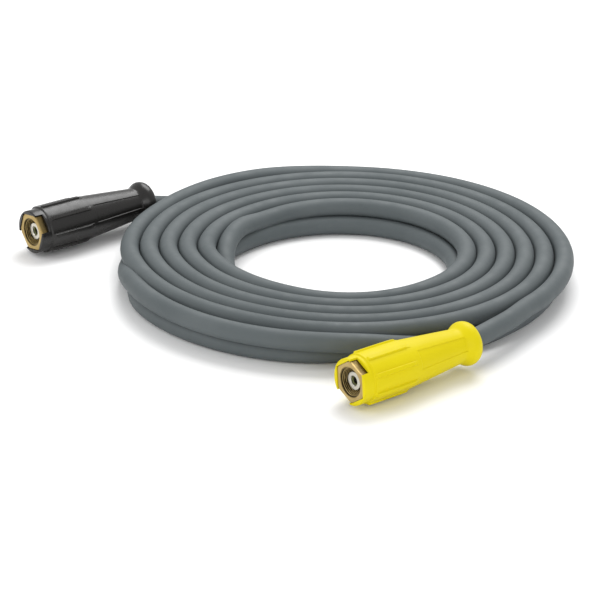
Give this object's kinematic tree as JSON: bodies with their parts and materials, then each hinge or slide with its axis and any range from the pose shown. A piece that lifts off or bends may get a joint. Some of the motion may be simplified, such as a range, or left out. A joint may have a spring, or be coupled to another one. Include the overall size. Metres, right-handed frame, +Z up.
{
  "type": "pressure washer hose",
  "caption": "High-pressure washer hose lying in a flat coil, with a yellow hand-tightened union coupling at its near end and a black one at its far end.",
  "frame": {"origin": "middle of the floor under the whole object, on the coil's own axis", "axes": "+Z up, through the coil's eye; both couplings lie along X with their threaded fronts facing -X, the yellow one at -Y and the black one at +Y"},
  "size_m": [0.3598, 0.4117, 0.0406],
  "materials": {
    "hose_rubber": "satin",
    "yellow_plastic": "semi-gloss",
    "black_plastic": "satin",
    "nut_brass": "machined",
    "nipple_nickel": "nickel plated",
    "ferrule_steel": "zinc plated"
  },
  "bodies": {
    "hose": {"hose_coil": "hose_rubber", "hose_tail_yellow": "hose_rubber", "hose_tail_black": "hose_rubber", "yellow_nipple": "nipple_nickel", "black_nipple": "nipple_nickel", "yellow_ferrule": "ferrule_steel", "black_ferrule": "ferrule_steel"},
    "yellow_coupling": {"yellow_grip": "yellow_plastic", "yellow_nut": "nut_brass"},
    "black_coupling": {"black_grip": "black_plastic", "black_nut": "nut_brass"}
  },
  "joints": [
    {"name": "yellow_swivel", "type": "hinge", "parent": "hose", "child": "yellow_coupling", "pos_m": [-0.1483, -0.186, 0.0205], "axis": [-1, 0, 0], "continuous": true},
    {"name": "black_swivel", "type": "hinge", "parent": "hose", "child": "black_coupling", "pos_m": [-0.1746, 0.186, 0.0205], "axis": [-1, 0, 0], "continuous": true}
  ]
}
